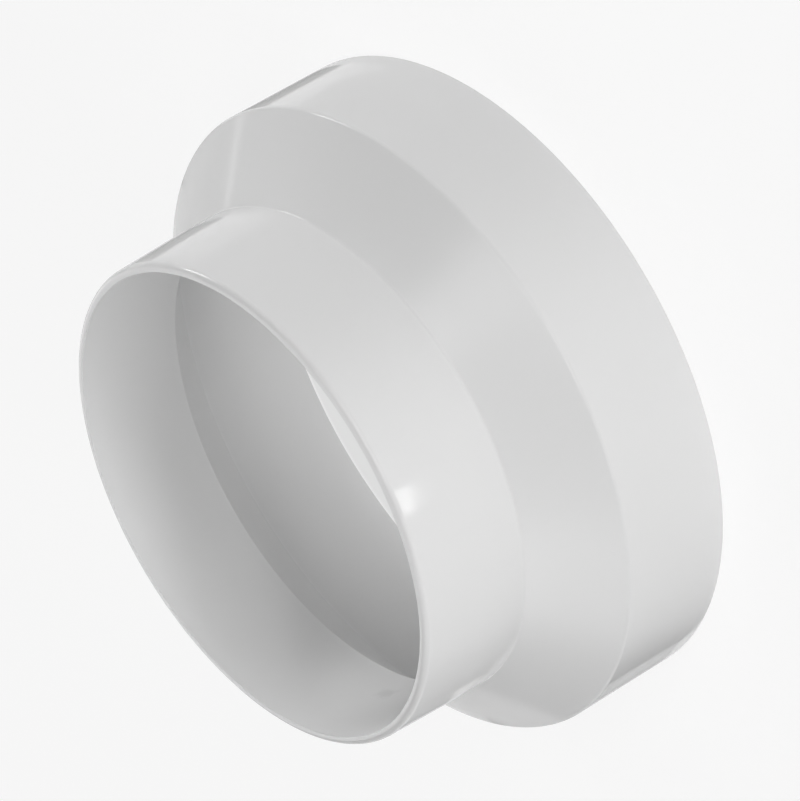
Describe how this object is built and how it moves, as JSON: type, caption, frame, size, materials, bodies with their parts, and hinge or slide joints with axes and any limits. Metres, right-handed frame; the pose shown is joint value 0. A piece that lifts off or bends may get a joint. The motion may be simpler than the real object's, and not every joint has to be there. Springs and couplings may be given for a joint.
{
  "type": "duct reducer",
  "caption": "Round moulded reducer that joins a narrow air duct to a wider one: a slightly tapered spigot and a wider socket on one axis, with a short conical shoulder between them.",
  "frame": {"origin": "middle of the large rim, on the surface that the reducer stands on", "axes": "+Z along the axis, from the large end up to the small end; X and Y are free, the part is round"},
  "size_m": [0.1288, 0.1288, 0.0593],
  "materials": {
    "white_plastic": "smooth moulded white plastic, semi-gloss"
  },
  "bodies": {
    "root": {"reducer": "white_plastic"}
  },
  "joints": []
}
